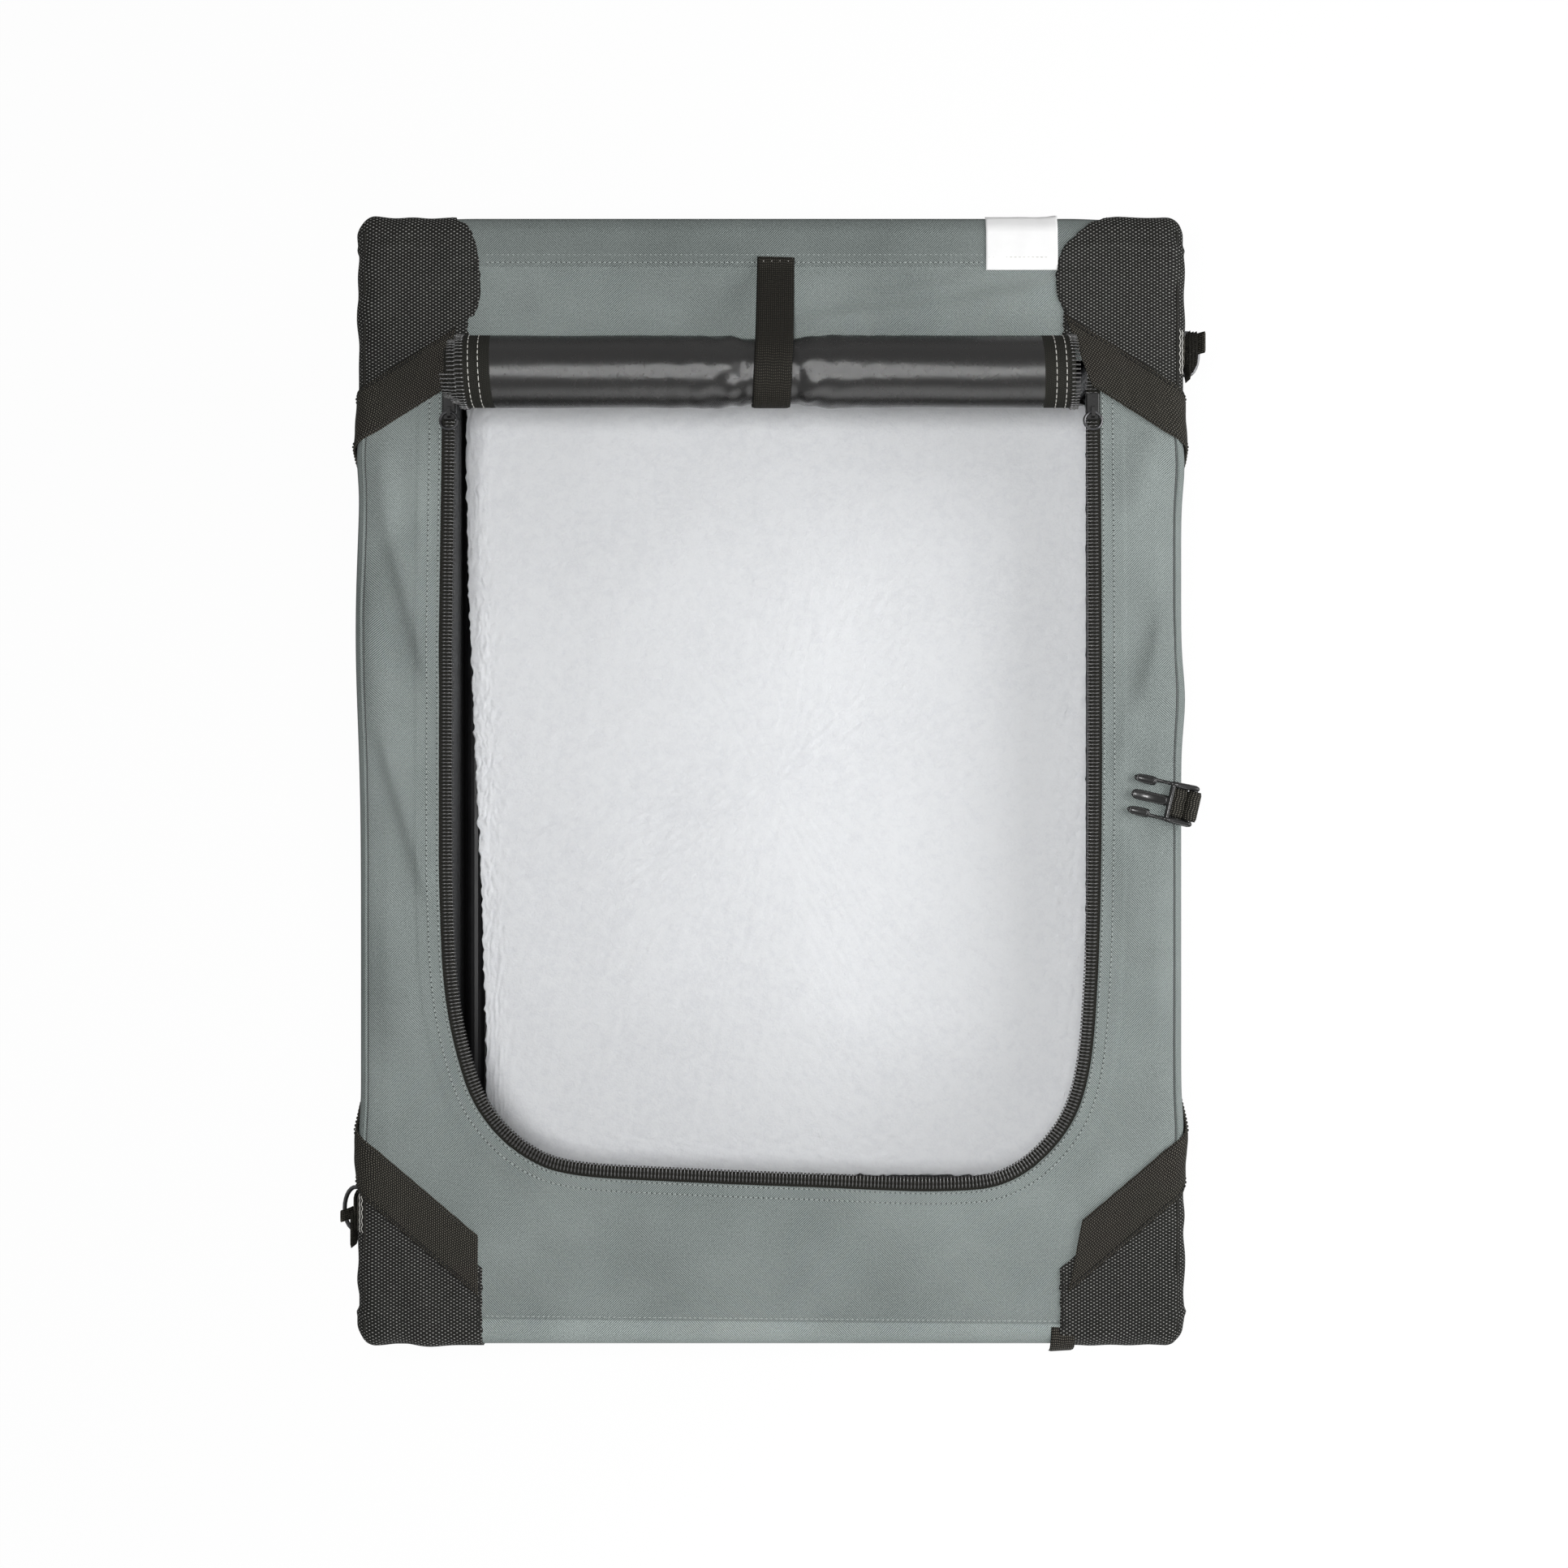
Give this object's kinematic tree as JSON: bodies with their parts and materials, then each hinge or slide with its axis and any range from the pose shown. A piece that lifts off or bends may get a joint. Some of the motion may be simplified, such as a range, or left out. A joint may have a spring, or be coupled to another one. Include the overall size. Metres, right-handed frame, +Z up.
{
  "type": "folding pet carrier",
  "caption": "Soft-sided folding pet carrier: a tube frame with folding posts in a fabric cover, with a rolled-up top door, a front door, mesh windows and a fleece mat.",
  "frame": {"origin": "on the floor, under the middle of the carrier", "axes": "+X to the carrier's right side, +Y to its rear end, where the top door is rolled up, +Z up"},
  "size_m": [0.5864, 0.7586, 0.5942],
  "materials": {
    "grey_fabric": "matte twill, coated inside",
    "black_coated_fabric": "satin coated",
    "black_patch_fabric": "coarse matte weave",
    "black_webbing": "matte woven",
    "black_mesh": "open knitted mesh",
    "white_fleece": "short pile fleece",
    "white_label": "smooth woven tape",
    "black_tube": "extruded, satin",
    "black_plastic": "moulded, satin",
    "black_steel": "black nickel, glossy",
    "black_zip": "coil teeth on woven tape"
  },
  "bodies": {
    "base": {"base_rail_front": "black_tube", "base_rail_rear": "black_tube", "base_rail_left": "black_tube", "base_rail_right": "black_tube", "base_corner_front_left": "black_plastic", "base_corner_front_right": "black_plastic", "base_corner_rear_left": "black_plastic", "base_corner_rear_right": "black_plastic", "floor_panel": "grey_fabric", "mat": "white_fleece", "front_wall": "grey_fabric", "rear_wall": "grey_fabric", "side_wall_left": "grey_fabric", "side_wall_right": "grey_fabric", "side_window_left": "black_mesh", "side_window_right": "black_mesh", "rear_window": "black_mesh", "buckle_socket": "black_plastic"},
    "lower_left": {"lower_post_front_left": "black_tube", "lower_post_rear_left": "black_tube"},
    "upper_left": {"upper_post_front_left": "black_tube", "upper_post_rear_left": "black_tube"},
    "lower_right": {"lower_post_front_right": "black_tube", "lower_post_rear_right": "black_tube"},
    "upper_right": {"upper_post_front_right": "black_tube", "upper_post_rear_right": "black_tube"},
    "top_frame": {"top_rail_front": "black_tube", "top_rail_rear": "black_tube", "top_rail_left": "black_tube", "top_rail_right": "black_tube", "top_corner_front_left": "black_plastic", "top_corner_front_right": "black_plastic", "top_corner_rear_left": "black_plastic", "top_corner_rear_right": "black_plastic", "roof_panel": "grey_fabric", "roof_zip": "black_zip", "top_door_roll": "black_coated_fabric", "roll_strap": "black_webbing", "care_label": "white_label", "corner_patch_front_left": "black_patch_fabric", "corner_patch_front_right": "black_patch_fabric", "corner_patch_rear_left": "black_patch_fabric", "corner_patch_rear_right": "black_patch_fabric", "hem_webbing_front_left": "black_webbing", "hem_webbing_front_right": "black_webbing", "hem_webbing_rear_left": "black_webbing", "hem_webbing_rear_right": "black_webbing", "ring_tab_left": "black_webbing", "ring_tab_right": "black_webbing", "buckle_tab": "black_webbing"},
    "front_door": {"front_door": "black_mesh"},
    "slider_left": {"zip_slider_left": "black_plastic"},
    "slider_right": {"zip_slider_right": "black_plastic"},
    "pull_left": {"zip_pull_left": "black_steel"},
    "pull_right": {"zip_pull_right": "black_steel"},
    "ring_left": {"strap_ring_left": "black_steel"},
    "ring_right": {"strap_ring_right": "black_steel"},
    "buckle_plug": {"buckle_plug": "black_plastic"}
  },
  "joints": [
    {"name": "fold", "type": "hinge", "parent": "base", "child": "lower_left", "pos_m": [-0.265, 0, 0.04], "axis": [0, 1, 0], "range_deg": [0, 84], "deforming": ["front_wall", "rear_wall", "side_wall_left", "side_wall_right", "side_window_left", "side_window_right", "rear_window", "front_door"]},
    {"name": "knee_left", "type": "hinge", "parent": "lower_left", "child": "upper_left", "pos_m": [-0.265, 0, 0.27], "axis": [0, 1, 0], "range_deg": [-168, 0]},
    {"name": "top_pivot_left", "type": "hinge", "parent": "upper_left", "child": "top_frame", "pos_m": [-0.265, 0, 0.5], "axis": [0, 1, 0], "range_deg": [0, 84]},
    {"name": "base_pivot_right", "type": "hinge", "parent": "base", "child": "lower_right", "pos_m": [0.265, 0, 0.04], "axis": [0, -1, 0], "range_deg": [0, 84]},
    {"name": "knee_right", "type": "hinge", "parent": "lower_right", "child": "upper_right", "pos_m": [0.265, 0, 0.27], "axis": [0, -1, 0], "range_deg": [-168, 0]},
    {"name": "front_door_swing", "type": "hinge", "parent": "top_frame", "child": "front_door", "pos_m": [0, -0.3774, 0.4941], "axis": [-1, 0, 0], "range_deg": [0, 110]},
    {"name": "slider_left_run", "type": "slide", "parent": "top_frame", "child": "slider_left", "axis": [0, -1, 0], "range_m": [0, 0.4]},
    {"name": "slider_right_run", "type": "slide", "parent": "top_frame", "child": "slider_right", "axis": [0, -1, 0], "range_m": [0, 0.4]},
    {"name": "pull_left_swing", "type": "hinge", "parent": "slider_left", "child": "pull_left", "pos_m": [-0.21495, 0.2465, 0.5461], "axis": [-1, 0, 0], "range_deg": [0, 80]},
    {"name": "pull_right_swing", "type": "hinge", "parent": "slider_right", "child": "pull_right", "pos_m": [0.21495, 0.2465, 0.5461], "axis": [-1, 0, 0], "range_deg": [0, 80]},
    {"name": "ring_right_swing", "type": "hinge", "parent": "top_frame", "child": "ring_right", "pos_m": [0.2812, 0.292, 0.506], "axis": [0, 1, 0], "range_deg": [-55, 85]},
    {"name": "ring_left_swing", "type": "hinge", "parent": "top_frame", "child": "ring_left", "pos_m": [-0.2812, -0.292, 0.506], "axis": [0, -1, 0], "range_deg": [-55, 85]},
    {"name": "buckle_plug_flip", "type": "hinge", "parent": "top_frame", "child": "buckle_plug", "pos_m": [0.28136, -0.017, 0.5435], "axis": [0.225, 0.9744, 0], "range_deg": [0, 240]}
  ],
  "couplings": [
    {"joint": "knee_left", "follows": "fold", "ratio": -2},
    {"joint": "top_pivot_left", "follows": "fold", "ratio": 1},
    {"joint": "base_pivot_right", "follows": "fold", "ratio": 1},
    {"joint": "knee_right", "follows": "fold", "ratio": -2}
  ]
}
